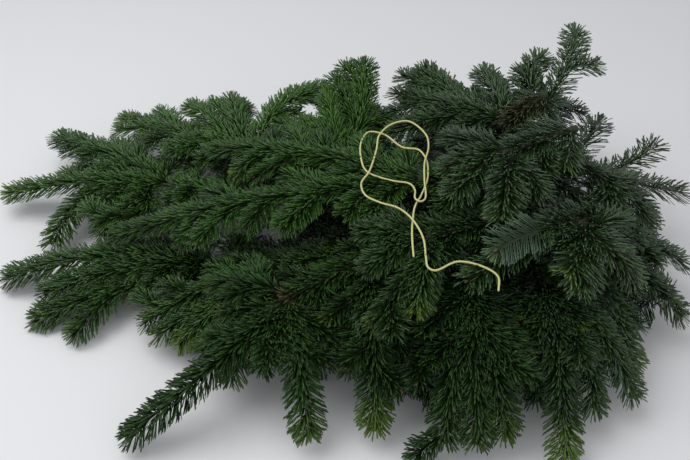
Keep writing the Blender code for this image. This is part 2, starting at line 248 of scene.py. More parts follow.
def makeTie():
    line, along = tieCentreline()
    ahead = np.gradient(line, axis=0)
    ahead /= np.linalg.norm(ahead, axis=1)[:, None]
    side = np.cross(ahead[0], (0, 0, 1))
    sides = []
    for direction in ahead:      # carried along without twist
        side = side - direction * side.dot(direction)
        side = side / np.linalg.norm(side)
        sides.append(side)
    sides = np.array(sides)
    ups = np.cross(ahead, sides)
    count = tie["sides"]
    around = np.arange(count) * 2 * math.pi / count
    turn = along * 2 * math.pi / tie["twistLength"]
    phase = around[None, :] * tie["plies"] - turn[:, None] * tie["plies"]
    depth = 0.5 - 0.5 * np.cos(phase)
    radius = tie["diameter"] / 2 * (1 - tie["groove"] * depth)
    fromEnd = np.minimum(along, along[-1] - along)
    taper = np.minimum(1, tie["endWidth"] + fromEnd / tie["endLength"])
    radius *= taper[:, None]
    across = (np.cos(around)[None, :, None] * sides[:, None, :]
              + np.sin(around)[None, :, None] * ups[:, None, :])
    points = (line[:, None, :] + across * radius[:, :, None]).reshape(-1, 3)
    corners, sizes = [], []
    for ring in range(len(line) - 1):
        for corner in range(count):
            after = (corner + 1) % count
            low, high = ring * count, (ring + 1) * count
            corners += [low + corner, low + after, high + after, high + corner]
            sizes.append(4)
    corners += list(range(count))[::-1] + list(range(len(points) - count, len(points)))
    sizes += [count, count]
    mesh = meshFrom("tie", points, corners, sizes)
    addValues(mesh, "groove", "POINT", depth)
    mesh.shade_smooth()
    piece = addPiece("tie", mesh, [makeTieMaterial()], ["tie_string"])


makeTie()
print("tie string laid")


# The boughs, from the top of the heap down: the cut end, the main fork and the limbs.
# crown lifts a limb's middle and bow swings it to the left. A pair is (share of the way
# along, length) and splays both ways. A side shoot is (share of the way along, tip), and
# then its roll and its new growth where they matter. young is new growth and dense the
# number of needles, both for a whole limb. twigs is off where a limb stands bare.
boughs = {
    "bough_01": {
        "butt": (.272, -.062, .208), "fork": (.19, -.103, .205),
        "limbs": {
            "leader": {"tip": (.105, -.118, .186), "crown": .006,
                "sides": [(.2, (.11, -.172, .186))]},
            "back": {"tip": (.116, -.046, .188), "crown": .006, "bow": .006},
            "front": {"tip": (.165, -.212, .184), "crown": .01,
                "sides": [(.15, (.222, -.172, .186))]},
        },
    },
    "bough_02": {
        "butt": (.252, .022, .204), "fork": (.198, -.018, .19),
        "limbs": {
            "leader": {"tip": (.07, .075, .164), "crown": .01, "sides": [(.25, (.05, .002, .16)),
                (.45, (.077, .038, .15)), (.2, (.101, .005, .15)), (.7, (.045, .084, .13)),
                (.6, (.054, .02, .135), 0, .1)]},
            "back": {"tip": (.099, .119, .19), "crown": -.006, "sides": [(.4, (.071, .124, .175)),
                (.2, (.058, .085, .17)), (.6, (.089, .121, .18)), (.45, (.082, .113, .16))]},
            "far": {"tip": (.184, .114, .19), "crown": .008, "sides": [(.4, (.212, .086, .18))]},
        },
    },
    "bough_03": {
        "butt": (.33, -.12, .13), "fork": (.262, -.185, .168),
        "limbs": {
            "leader": {"tip": (.176, -.232, .168), "crown": .01,
                "sides": [(.3, (.118, -.266, .148)), (.5, (.145, -.26, .188), 2.8, .3),
                (.35, (.206, -.217, .185), 0, .8)]},
            "front": {"tip": (.242, -.278, .142), "crown": .014, "pairs": [(.25, .05)],
                "sides": [(.5, (.224, -.276, .165), 0, .9)]},
            "right": {"tip": (.322, -.236, .116), "crown": .01, "sides": [(.15, (.322, -.15, .146)),
                (.5, (.297, -.234, .14), 0, .9)]},
        },
    },
    "bough_04": {
        "butt": (.2, -.15, .15), "fork": (.098, -.198, .158),
        "limbs": {
            "leader": {"tip": (.006, -.176, .146), "crown": .008, "pairs": [(.3, .045)]},
            "left": {"tip": (.012, -.232, .136), "crown": .008},
            "front": {"tip": (.07, -.29, .122), "crown": .012, "sides": [(.3, (.022, -.298, .11))],
                "young": .8},
        },
    },
    "bough_05": {
        "butt": (.17, .02, .15), "fork": (.25, .03, .17),
        "limbs": {
            "leader": {"tip": (.32, .174, .222), "crown": .012,
                "sides": [(.45, (.346, .112, .196))], "bow": -.012, "dense": 1.1},
            "left": {"tip": (.265, .119, .214), "crown": .01, "sides": [(.25, (.232, .11, .196))],
                "bow": .016},
            "down": {"tip": (.33, .19, .05), "crown": .03, "pairs": [(.6, .06)],
                "sides": [(.3, (.262, .17, .08))]},
        },
    },
    "bough_06": {
        "butt": (.16, -.06, .13), "fork": (.275, -.07, .16),
        "limbs": {
            "leader": {"tip": (.442, -.035, .09), "crown": -.003, "dense": 1},
            "back": {"tip": (.423, .043, .115), "crown": -.024, "twigs": False, "dense": .8},
            "rear": {"tip": (.339, .05, .15), "crown": .01, "twigs": False, "dense": .8},
            "front": {"tip": (.372, -.136, .114), "crown": .014, "pairs": [(.35, .055)],
                "sides": [(.4, (.298, -.151, .13), 0, .3)]},
        },
    },
    "bough_07": {
        "butt": (.22, -.086, .146), "fork": (.098, -.1, .16),
        "limbs": {
            "leader": {"tip": (-.3, -.085, .062), "crown": .022, "bow": .01, "pairs": [(.07, .075),
                (.3, .085), (.56, .08)]},
            "back": {"tip": (-.19, .06, .096), "crown": .02, "bow": .006, "pairs": [(.2, .075),
                (.5, .08)]},
        },
    },
    "bough_08": {
        "butt": (.12, -.04, .11), "fork": (-.01, -.01, .128),
        "limbs": {
            "leader": {"tip": (-.022, .128, .15), "crown": .006,
                "sides": [(.2, (-.066, .096, .122))]},
            "left": {"tip": (-.112, .118, .106), "crown": .01, "sides": [(.2, (-.11, .06, .106))]},
            "right": {"tip": (.001, .166, .172), "crown": .004, "bow": -.03,
                "sides": [(.45, (.027, .16, .18)), (.3, (-.017, .151, .16))], "dense": 1},
            "down": {"tip": (.05, .215, .056), "crown": .03, "pairs": [(.3, .07), (.58, .05)],
                "sides": [(.3, (.06, .1, .1)), (.5, (.045, .125, .09)),
                (.2, (.064, .067, .11), 0, .2)]},
        },
    },
    "bough_09": {
        "butt": (.052, -.17, .118), "fork": (-.062, -.238, .104),
        "limbs": {
            "leader": {"tip": (-.236, -.367, .016), "crown": .02, "bow": .018,
                "sides": [(.22, (-.168, -.268, .05)), (.3, (-.129, -.308, .035))]},
            "left": {"tip": (-.16, -.196, .088), "crown": .01, "pairs": [(.3, .05)]},
            "front": {"tip": (-.036, -.374, .024), "crown": .022},
            "middle": {"tip": (-.098, -.291, .03), "crown": .02},
        },
    },
    "bough_10": {
        "butt": (.03, -.06, .096), "fork": (.03, -.215, .112),
        "limbs": {
            "leader": {"tip": (.032, -.366, .024), "crown": .026, "young": .8},
            "left": {"tip": (.002, -.303, .04), "crown": .024,
                "sides": [(.4, (.026, -.293, .09), 2.6, .5)]},
            "right": {"tip": (.071, -.32, .034), "crown": .026},
        },
    },
    "bough_11": {
        "butt": (.11, -.09, .1), "fork": (.132, -.235, .12),
        "limbs": {
            "leader": {"tip": (.134, -.392, .034), "crown": .026},
            "left": {"tip": (.1, -.386, .03), "crown": .024,
                "sides": [(.98, (.062, -.387, .012), 0, .2)]},
            "right": {"tip": (.165, -.384, .036), "crown": .028},
        },
    },
    "bough_12": {
        "butt": (.17, -.09, .09), "fork": (.222, -.215, .11),
        "limbs": {
            "leader": {"tip": (.225, -.397, .016), "crown": .028, "young": 1},
            "left": {"tip": (.199, -.342, .04), "crown": .026},
            "right": {"tip": (.317, -.326, .03), "crown": .024, "sides": [(.4, (.262, -.35, .034)),
                (.7, (.303, -.314, .045), 2.7, .5)]},
        },
    },
    "bough_13": {
        "butt": (.03, -.14, .082), "fork": (-.066, -.165, .082),
        "limbs": {
            "leader": {"tip": (-.244, -.212, .032), "crown": .016, "pairs": [(.3, .06)]},
            "front": {"tip": (-.199, -.246, .03), "crown": .014, "pairs": [(.4, .045)], "young": .9,
                "sides": [(.55, (-.227, -.229, .028), 0, .6)]},
        },
    },
    "bough_14": {
        "butt": (.02, .03, .086), "fork": (-.13, .045, .086),
        "limbs": {
            "leader": {"tip": (-.355, .229, .038), "crown": .012, "pairs": [(.25, .065)],
                "sides": [(.5, (-.289, .217, .06)), (.6, (-.357, .189, .04), 0, .3)]},
            "middle": {"tip": (-.238, .196, .085), "crown": .014},
            "right": {"tip": (-.17, .176, .112), "crown": .01,
                "sides": [(.45, (-.202, .177, .1), 0, .1), (.6, (-.15, .169, .1), 0, .2),
                (.7, (-.137, .166, .09), 0, .2)]},
            "arch": {"tip": (-.023, .181, .125), "crown": .022, "bow": .014, "twigs": False,
                "sides": [(.35, (-.06, .15, .094)), (.62, (-.04, .177, .1))]},
        },
    },
    "bough_15": {
        "butt": (.14, -.13, .064), "fork": (.262, -.14, .094),
        "limbs": {
            "leader": {"tip": (.402, -.212, .04), "crown": .024, "pairs": [(.35, .06)],
                "sides": [(.3, (.27, -.287, .08), 2.6, .6)]},
            "front": {"tip": (.321, -.292, .034), "crown": .022,
                "sides": [(.45, (.339, -.244, .05))], "young": .5},
            "back": {"tip": (.424, -.13, .056), "crown": .022, "pairs": [(.4, .06)]},
        },
    },
    "bough_16": {
        "butt": (-.08, -.01, .062), "fork": (-.236, .036, .05),
        "limbs": {
            "leader": {"tip": (-.483, .046, .028), "crown": .014, "young": .9},
            "front": {"tip": (-.4, -.055, .018), "crown": .014,
                "sides": [(.12, (-.332, -.048, .024))], "bow": -.046},
            "back": {"tip": (-.44, .167, .045), "crown": .012, "sides": [(.12, (-.35, .146, .046)),
                (.5, (-.422, .15, .035), 0, .1)]},
        },
    },
    "bough_17": {
        "butt": (0, -.11, .04), "fork": (-.15, -.115, .036),
        "limbs": {
            "leader": {"tip": (-.44, -.112, .014), "crown": .028},
            "middle": {"tip": (-.382, -.15, .022), "crown": .022},
            "front": {"tip": (-.387, -.183, .009), "crown": .014,
                "sides": [(.55, (-.33, -.216, .009))]},
        },
    },
    "bough_18": {
        "butt": (.08, -.07, .06), "fork": (.17, .03, .08),
        "limbs": {
            "leader": {"tip": (.205, .245, .024), "crown": .03, "pairs": [(.4, .07)]},
            "left": {"tip": (.105, .235, .03), "crown": .026},
            "right": {"tip": (.36, .11, .04), "crown": .026, "pairs": [(.45, .07)]},
        },
    },
    "bough_19": {
        "butt": (.11, -.19, .01), "fork": (0, -.11, .009),
        "limbs": {
            "leader": {"tip": (-.104, .226, .009), "pairs": [(.5, .08)]},
            "middle": {"tip": (0, .24, .009), "pairs": [(.62, .06)]},
            "right": {"tip": (.13, .222, .009), "pairs": [(.5, .07)]},
        },
    },
}

# How fir grows, in metres, with splays and rolls in radians
habit = {
    "stemRadius": 0.0036,
    "limbRadius": 0.0022,
    "sideRadius": 0.00144,
    "twigRadius": 0.0012,
    "tipRadius": 0.0009,
    "bare": 0.004,           # from a shoot's start to its first needles
    "bareLimb": 0.010,
    "tipReach": 0.012,       # how far needles reach past the end of their shoot
    "shortRun": 0.03,        # shoots shorter than this are cut back less
    "lowest": 0.009,         # no side shoot's tip is lower
    "floor": 0.0009,         # and no part of a shoot is lower than this
    "sideCrown": 0.003,
    "pairSplay": 0.80,
    "pairDroop": 0.10,
    "twigStep": 0.040,       # between the small twigs that fill a spray
    "twigSteps": (0.85, 1.15),
    "twigRoom": 0.022,       # between a small twig and a pair of side shoots
    "twigLength": 0.070,
    "twigSizes": (0.8, 1.15),
    "twigShrink": 0.25,      # from the start of a limb to its end
    "twigSplay": (0.72, 1.0),
    "twigDroop": (0.05, 0.50),
    "twigCrown": 0.006,
    "plainFork": 0.010,      # a stem's last stretch, with no twigs
    "plainStart": 0.020,     # a limb's first stretch
    "plainEnd": 0.105,       # and its last
    "limbRoll": 0.15,
    "sideRoll": 0.3,
    "twigRoll": 0.4,
    "limbYoung": 0.7,        # the most new growth, before it is squared
    "twigYoung": 0.8,
    "stemDense": 1.35,       # needles to the metre, as a share of the plain number
    "limbDense": 1.4,
    "twigDense": 0.85,
}

# How the gaps between the shoots are filled, so that no floor shows through the heap
filling = {
    "outline": [
        (-.44, .05), (-.41, .14), (-.34, .20), (-.24, .19), (-.16, .18), (-.06, .19), (.04, .20),
        (.12, .22), (.20, .22), (.30, .18), (.35, .12), (.40, .06), (.42, -.02), (.41, -.12),
        (.38, -.20), (.33, -.27), (.29, -.32), (.22, -.37), (.13, -.37), (.04, -.35),
        (-.04, -.34), (-.10, -.30), (-.17, -.29), (-.18, -.23), (-.26, -.20), (-.36, -.16),
        (-.40, -.11), (-.34, -.06), (-.36, .00)],
    "step": 0.026,           # between the places that are looked at
    "columns": (-18, 18),    # first and last of them, in steps from the middle
    "rows": (-16, 11),
    "stray": 0.3,            # of a step, at random
    "gap": 0.0155,           # the nearest shoot may be this far from each
    "known": 0.010,          # between the points that stand for a shoot
    "knownSpan": (0.08, 0.92),
    "shortest": 0.030,
    "longest": 0.100,
    "forward": 0.65,         # the cosine at which a twig likes to leave its shoot
    "forwardCost": 0.06,
    "pastSpot": 0.018,
    "slope": 0.25,
    "crown": 0.008,
    "layers": [0.060, 0.110, 0.300],     # shoots lower than this close each layer
    # the heap's inner outline in the picture, in pixels: no small twig ends outside it
    "seen": [
        (50, 190), (72, 150), (151, 138), (176, 146), (208, 154), (115, 132), (165, 128),
        (205, 112), (245, 112), (265, 130), (300, 108), (335, 85), (360, 80), (378, 112),
        (400, 92), (432, 82), (470, 92), (500, 90), (530, 78), (560, 68), (572, 78), (560, 115),
        (572, 145), (600, 168), (630, 185), (660, 205), (668, 230), (664, 262), (670, 285),
        (650, 305), (630, 335), (624, 365), (598, 385), (562, 400), (520, 412), (460, 420),
        (425, 405), (395, 398), (370, 385), (335, 375), (290, 378), (262, 380), (215, 372),
        (190, 350), (170, 333), (130, 295), (85, 292), (58, 285), (60, 268), (90, 250),
        (75, 215)],
}

# What differs from bough to bough: the first factor paints light and shade into the plain green,
# lighter on the boughs at the upper left and darker on those at the right, front and bottom;
# fresh is yellow-green growth; the blue-grey is partly the needles' cool bloom and partly painted
# sheen; gloss is the sheen, thick the share of needles that a bough carries and long their
# length. dryStem and dryFork turn needles brown.
plainLook = {"paintedLight": 1.0, "fresh": 0.12, "bloomAndSheen": 0.15, "gloss": 0.35, "thick": 1.0,
             "long": 1.0, "dryStem": 0.0, "dryFork": 0.0}
looks = {
    "bough_01": {"paintedLight": 0.68, "bloomAndSheen": 0.38, "gloss": 0.85, "thick": 0.72, "long": 1.12},
    "bough_02": {"paintedLight": 0.85, "bloomAndSheen": 0.40, "gloss": 0.70, "dryStem": 0.65},
    "bough_03": {"paintedLight": 0.68, "bloomAndSheen": 0.30, "gloss": 0.85, "thick": 0.72, "long": 1.12},
    "bough_04": {"paintedLight": 0.75, "bloomAndSheen": 0.20, "gloss": 0.50},
    "bough_05": {"paintedLight": 0.68, "bloomAndSheen": 0.38, "gloss": 0.85, "thick": 0.75},
    "bough_06": {"paintedLight": 0.68, "bloomAndSheen": 0.32, "gloss": 0.85, "thick": 0.65, "long": 1.08},
    "bough_07": {"fresh": 0.55, "gloss": 0.50},
    "bough_08": {"fresh": 0.85, "gloss": 0.40},
    "bough_09": {"paintedLight": 0.72, "fresh": 0.12, "dryFork": 0.9},
    "bough_10": {"paintedLight": 0.62, "fresh": 0.02, "gloss": 0.32},
    "bough_11": {"paintedLight": 0.62, "fresh": 0.02, "gloss": 0.32},
    "bough_12": {"paintedLight": 0.75, "fresh": 0.05, "bloomAndSheen": 0.30, "gloss": 0.45},
    "bough_13": {"fresh": 0.60, "gloss": 0.75},
    "bough_14": {"paintedLight": 1.50, "fresh": 0.95, "gloss": 0.80},
    "bough_15": {"paintedLight": 0.75, "bloomAndSheen": 0.40, "gloss": 0.70, "thick": 0.80, "long": 1.08},
    "bough_16": {"paintedLight": 1.30, "fresh": 0.75, "gloss": 0.80, "long": 1.12},
    "bough_17": {"fresh": 0.55, "gloss": 0.75, "long": 1.10},
    "bough_18": {"paintedLight": 0.75, "thick": 0.70},
    "bough_19": {"paintedLight": 0.75, "thick": 0.60},
}
seeds = {"growth": 7100, "gaps": 404, "needles": 8100}


def shootFrom(start, end, crown=0.0, bow=0.0, radius=habit["twigRadius"], bare=habit["bare"],
              ends=True):
    start, end = np.array(start, float), np.array(end, float)
    run = end - start
    if ends:     # cut back, so that the needles end at the tip that is asked for
        run *= 1 - habit["tipReach"] / max(np.linalg.norm(run), habit["shortRun"])
    left = np.array((-run[1], run[0], 0.0))
    left /= max(np.linalg.norm(left), 1e-6)
    return {"start": start, "run": run, "rise": np.array((0, 0, crown)) + left * bow,
            "length": float(np.linalg.norm(run)), "radius": radius, "bare": bare, "ends": ends,
            "dense": 1.0, "roll": 0.0, "young": 0.0, "dry": 0.0, "dryStart": 0.0, "dryEnd": 0.0}


def alongShoot(shoot, share):
    # points of a shoot and its forward, left and up directions
    share = np.asarray(share, float)[:, None]
    points = shoot["start"] + shoot["run"] * share + shoot["rise"] * 4 * share * (1 - share)
    ahead = shoot["run"] + shoot["rise"] * 4 * (1 - 2 * share)
    ahead /= np.linalg.norm(ahead, axis=1)[:, None]
    left = np.stack([-ahead[:, 1], ahead[:, 0], np.zeros(len(ahead))], axis=1)
    left /= np.linalg.norm(left, axis=1)[:, None]
    up = np.cross(ahead, left)
    level, rolled = math.cos(shoot["roll"]), math.sin(shoot["roll"])
    return points, ahead, left * level + up * rolled, up * level - left * rolled


def splayedTip(shoot, share, length, way, splay, droop):
    points, ahead, left = alongShoot(shoot, [share])[:3]
    run = ahead[0] * math.cos(splay) + left[0] * way * math.sin(splay)
    tip = points[0] + run * length - np.array((0, 0, droop * length))
    tip[2] = max(tip[2], habit["lowest"])
    return points[0], tip


def insideOutline(spot, corners):
    inside = False
    for number, (x, y) in enumerate(corners):
        lastX, lastY = corners[number - 1]
        if (y > spot[1]) != (lastY > spot[1]):
            crossing = x + (spot[1] - y) * (lastX - x) / (lastY - y)
            inside = inside != (spot[0] < crossing)
    return inside


def staysInside(place):
    # whether a place lies inside the heap's inner outline, as the picture shows it
    tilt = math.radians(view["pitch"])
    ray = place - np.array((0, -view["height"] / math.tan(tilt), view["height"]))
    depth = ray[1] * math.cos(tilt) - ray[2] * math.sin(tilt)
    climb = ray[1] * math.sin(tilt) + ray[2] * math.cos(tilt)
    across, down = ray[0] / depth * view["focal"], -climb / depth * view["focal"]
    wide, high = view["picture"]
    return insideOutline((wide / 2 + across, high / 2 + down), filling["seen"])


def eitherWay(most, draw):
    return draw.uniform(-most, most)


def addTwigs(shoots, main, first, last, taken, draw):
    # small twigs in pairs that fill a spray
    place = first
    while place < last:
        share = place / main["length"]
        if all(abs(share - other) * main["length"] > habit["twigRoom"] for other in taken):
            size = habit["twigLength"] * (1 - habit["twigShrink"] * share)
            size *= draw.uniform(*habit["twigSizes"])
            for way in (-1, 1):
                splay, droop = draw.uniform(*habit["twigSplay"]), draw.uniform(*habit["twigDroop"])
                start, tip = splayedTip(main, share, size, way, splay, droop)
                twig = shootFrom(start, tip, draw.uniform(0, habit["twigCrown"]))
                twig["roll"] = eitherWay(habit["twigRoll"], draw)
                twig["young"] = draw.uniform(0, habit["twigYoung"]) ** 2
                twig["dense"] = habit["twigDense"]
                if staysInside(tip):
                    shoots.append(twig)
        place += habit["twigStep"] * draw.uniform(*habit["twigSteps"])


def growBough(bough, draw):
    # every shoot of a bough: stem, limbs, their paired and single side shoots, small twigs
    stem = shootFrom(bough["butt"], bough["fork"], radius=habit["stemRadius"], ends=False)
    stem["dense"] = habit["stemDense"]
    shoots = [stem]
    addTwigs(shoots, stem, habit["bare"], stem["length"] - habit["plainFork"], [], draw)
    for limb in bough["limbs"].values():
        main = shootFrom(bough["fork"], limb["tip"], limb.get("crown", 0), limb.get("bow", 0),
                         habit["limbRadius"], habit["bareLimb"])
        main["roll"] = eitherWay(habit["limbRoll"], draw)
        main["dense"] = limb.get("dense", habit["limbDense"])
        main["young"] = limb.get("young", draw.uniform(0, habit["limbYoung"]) ** 2)
        shoots.append(main)
        full = main["length"] + habit["tipReach"]
        taken = []
        for share, length in limb.get("pairs", []):
            taken.append(share)
            for way in (-1, 1):
                start, tip = splayedTip(main, share * full / main["length"], length, way,
                                        habit["pairSplay"], habit["pairDroop"])
                side = shootFrom(start, tip, habit["sideCrown"], 0, habit["sideRadius"])
                side["roll"] = eitherWay(habit["sideRoll"], draw)
                shoots.append(side)
        for share, tip, *rest in limb.get("sides", []):
            start = alongShoot(main, [share])[0][0]
            side = shootFrom(start, tip, habit["sideCrown"], 0, habit["sideRadius"])
            side["roll"], side["young"] = rest or (
                eitherWay(habit["sideRoll"], draw), draw.uniform(0, habit["limbYoung"]) ** 2)
            shoots.append(side)
        if limb.get("twigs", True):
            addTwigs(shoots, main, habit["plainStart"], full - habit["plainEnd"], taken, draw)
    return shoots


def fillGaps(grown):
    # where no shoot passes, a twig grows towards the place from the best shoot nearby
    draw = np.random.default_rng(seeds["gaps"])
    places, headings, owners = [], [], []

    def note(name, shoot):
        count = max(3, int(shoot["length"] / filling["known"]))
        points, ahead = alongShoot(shoot, np.linspace(*filling["knownSpan"], count))[:2]
        places.append(points)
        headings.append(ahead)
        owners.extend([name] * len(points))

    for name, shoots in grown.items():
        for shoot in shoots:
            note(name, shoot)
    step = filling["step"]
    columns, rows = range(*filling["columns"]), range(*filling["rows"])
    spots = [(x * step, y * step) for x in columns for y in rows]
    spots = [np.array(spot) for spot in spots if insideOutline(spot, filling["outline"])]
    rounds = []
    for ceiling in filling["layers"]:
        rounds += [(ceiling, number) for number in draw.permutation(len(spots))]
    added = 0
    for ceiling, number in rounds:
        spot = spots[number] + draw.uniform(-filling["stray"], filling["stray"], 2) * step
        known, ahead = np.concatenate(places), np.concatenate(headings)
        low = known[:, 2] < ceiling
        known, ahead, names = known[low], ahead[low], np.array(owners)[low]
        away = spot - known[:, :2]
        distance = np.linalg.norm(away, axis=1)
        if distance.min() < filling["gap"]:
            continue
        flat = np.linalg.norm(ahead[:, :2], axis=1)
        agree = np.sum(away * ahead[:, :2], axis=1) / (distance * flat + 1e-6)
        cost = distance + filling["forwardCost"] * np.abs(agree - filling["forward"])
        cost[(distance < filling["shortest"]) | (distance > filling["longest"])] = 1
        best = int(np.argmin(cost))
        if cost[best] >= 1:
            continue
        start = known[best]
        tip = np.append(spot + away[best] / distance[best] * filling["pastSpot"], 0)
        drop = distance[best] * draw.uniform(0, filling["slope"])
        tip[2] = max(start[2] - drop, habit["lowest"])
        if not staysInside(tip):
            continue
        twig = shootFrom(start, tip, draw.uniform(0, filling["crown"]))
        twig["roll"] = eitherWay(habit["twigRoll"], draw)
        twig["dense"] = habit["twigDense"]
        grown[names[best]].append(twig)
        note(names[best], twig)
        added += 1
    print("gaps filled with", added, "twigs")


# The needles, in metres and degrees
needle = {
    "perMetre": 2500,
    "most": 90500,           # in the whole heap
    "length": 0.0250,
    "width": 0.0018,
    "depth": 0.00055,
    "sideLean": 53,          # between a side needle and its shoot
    "topLean": 30,           # between a top needle and its shoot
    "tipLean": 34,           # at the very end of a shoot
    "leanSpread": 6,
    "tipSpread": 18,         # the same at the very end
    "tipSpan": 0.014,        # the stretch over which needles close around the bud
    "tipLength": 0.72,       # their length there, as a share
    "topLength": 0.80,       # a top needle's length, as a share of a side needle's
    "turn": 2.39996,         # from one needle to the next around the shoot, in radians
    "turnSpread": 0.25,
    "crowding": 0.86,        # below 1, more of them stand towards the tip
    "raisedIn": 5,           # one in so many is turned to the upper side
    "combed": 0.22,          # how much the lower ones still hang
    "sway": 0.05,
    "twist": 0.35,           # of a needle about its own length, in radians
    "lengths": (0.86, 1.08),
    "widths": (0.85, 1.1),
    "bend": (0.02, 0.09),    # outwards, as a share of its length
    "drySpans": (0.010, 0.012),      # brown past a shoot's start and before its end
    "pressed": 0.02,         # what is left of a needle's depth below the floor
    "rootWidth": 0.6,        # as a share of its width
}


def needleCount(shoot, look):
    return shoot["length"] * needle["perMetre"] * shoot["dense"] * look["thick"]


def needlesOf(shoot, count, reach, draw):
    # where each needle of a shoot starts, points and faces, and how long it is
    number = np.arange(count)
    order = ((number + draw.uniform(0, 1, count)) / count) ** needle["crowding"]
    bare = shoot["bare"] / shoot["length"]
    share = bare + (1 - bare) * order
    points, ahead, left, up = alongShoot(shoot, share)
    turn = number * needle["turn"] + draw.normal(0, needle["turnSpread"], count)
    height, across = np.sin(turn), np.cos(turn)
    height = np.where(number % needle["raisedIn"] < 1, np.abs(height), height)
    below = height < 0
    height = np.where(below, needle["combed"] * height, height)
    across = np.where(below, np.sign(across) * np.sqrt(1 - height ** 2), across)
    raised = np.clip(height, 0, 1)
    fromStart, fromEnd = share * shoot["length"], (1 - share) * shoot["length"]
    plain = np.clip(fromEnd / needle["tipSpan"], 0, 1)       # 0 at the tip
    lean = needle["sideLean"] + (needle["topLean"] - needle["sideLean"]) * raised ** 1.3
    lean = needle["tipLean"] + (lean - needle["tipLean"]) * plain ** 0.7
    spread = needle["tipSpread"] - (needle["tipSpread"] - needle["leanSpread"]) * plain
    lean = np.radians(lean + draw.normal(0, 1, count) * spread)
    out = left * across[:, None] + up * height[:, None]
    points = points + out * (shoot["radius"] * 0.8)
    heading = ahead * np.cos(lean)[:, None] + out * np.sin(lean)[:, None]
    heading += draw.normal(0, needle["sway"], (count, 3))
    heading /= np.linalg.norm(heading, axis=1)[:, None]
    length = needle["length"] * reach * (1 + (needle["topLength"] - 1) * raised)
    length *= draw.uniform(*needle["lengths"], count)
    length *= needle["tipLength"] + (1 - needle["tipLength"]) * plain
    length *= np.clip(0.7 + order * 3, 0, 1)     # shorter where the shoot starts
    face = up - heading * np.sum(up * heading, axis=1)[:, None]
    face /= np.linalg.norm(face, axis=1)[:, None]
    wide = np.cross(heading, face)
    twist = draw.normal(0, needle["twist"], count)[:, None]
    turned = face * np.cos(twist) + wide * np.sin(twist)
    wide = wide * np.cos(twist) - face * np.sin(twist)
    startSpan, endSpan = needle["drySpans"]
    dry = shoot["dry"] + shoot["dryStart"] * np.clip(1.5 - fromStart / startSpan, 0, 1)
    dry += shoot["dryEnd"] * np.clip(1.5 - fromEnd / endSpan, 0, 1)
    bulge = out * (length * draw.uniform(*needle["bend"], count))[:, None]
    width = needle["width"] * draw.uniform(*needle["widths"], count)
    toneAndShade = draw.uniform(0, 1, count) ** 2 + draw.uniform(-0.15, 0.3)
    if shoot["dense"] >= 1:      # painted shade: the small twigs that fill in among the shoots are darker than limbs and side shoots
        toneAndShade += 0.2
    return {
        "base": points, "heading": heading, "face": turned, "wide": wide, "length": length,
        "bulge": bulge, "width": width, "toneAndShade": toneAndShade,
        "young": np.clip((share - 0.78) * 4, 0, 1) * shoot["young"],
        "dry": dry * draw.uniform(0.4, 1, count),
        "pale": np.clip(1 - raised * 2.5, 0, 1),
    }


# One needle: 7 points and 7 faces, a flat top over a keeled underside
needleFaces = [(1, 4, 3, 0), (4, 6, 3), (0, 2, 1), (0, 3, 5, 2), (1, 2, 5, 4), (3, 6, 5),
               (4, 5, 6)]
needleEnd = 0.84             # where a needle starts to narrow to its tip
topFaces = 2                 # the first of needleFaces
topMap = {0: (0, .86), 1: (0, .64), 3: (.84, .96), 4: (.84, .54), 6: (1, .75)}
underMap = {0: (0, .36), 1: (0, .14), 2: (.03, .25), 3: (.84, .46), 4: (.84, .04),
            5: (.84, .25), 6: (1, .25)}


def needleMesh(name, needles):
    count = len(needles["length"])
    long = needles["length"][:, None]
    half = needles["width"][:, None] / 2
    root = half * needle["rootWidth"]
    deep = needle["depth"]
    base, heading = needles["base"], needles["heading"]
    end = base + heading * long * needleEnd + needles["bulge"]
    tip = base + heading * long
    wide, face = needles["wide"], needles["face"]
    points = np.stack([
        base - wide * root, base + wide * root, base - face * deep,
        end - wide * half, end + wide * half, end - face * deep, tip], axis=1)
    low = habit["floor"]
    height = points[:, :, 2]
    points[:, :, 2] = np.where(height < low, low + (height - low) * needle["pressed"], height)
    faceCorners = np.array([corner for face in needleFaces for corner in face])
    corners = (np.arange(count)[:, None] * 7 + faceCorners[None, :]).ravel()
    sizes = np.tile([len(face) for face in needleFaces], count)
    mesh = meshFrom(name, points.reshape(-1, 3), corners, sizes)
    for key in ("toneAndShade", "dry", "young"):
        addValues(mesh, key, "POINT", np.repeat(needles[key], 7))
    addValues(mesh, "along", "POINT", np.tile([0, 0, 0, needleEnd, needleEnd, needleEnd, 1], count))
    addValues(mesh, "rib", "POINT", np.tile([0, 0, 1, 0, 0, 1, 0.5], count))
    under = needles["pale"][:, None] * np.array([0, 0, 1, 1, 1, 1, 1])
    addValues(mesh, "under", "FACE", under)
    # every needle has its own cell of the map, with its top and underside side by side
    local = []
    for number, face in enumerate(needleFaces):
        table = topMap if number < topFaces else underMap
        local += [table[corner] for corner in face]
    local = np.array(local) * 0.94 + 0.03
    columns = max(1, math.ceil(math.sqrt(count / 4)))
    rows = math.ceil(count / columns)
    cell = np.stack([np.arange(count) % columns, np.arange(count) // columns], axis=1)
    layer = mesh.uv_layers.new(name="OFBake")
    spread = (cell[:, None, :] + local[None, :, :]) / np.array((columns, rows))
    layer.data.foreach_set("uv", spread.astype(np.float32).ravel())
    return mesh


# The wood's own measures, in metres
wood = {
    "ring": 0.02,            # between the rings of a shoot
    "sides": 5,
    "buttRadius": 0.0045,
    "forkRadius": 0.0026,
    "pastFork": 0.012,
    "stemRings": 9,
    "stemSides": 14,
    "budLength": 0.0052,
    "budRadius": 0.00165,
    "budShares": (0, 0.4, 0.8, 1.0),
    "budWidths": (0.5, 1.0, 0.65, 0.12),
    "sideBud": 0.75,         # as a share of the end bud
    "sideBudSplay": 0.54,
    "sideBudAway": 0.00108,
}


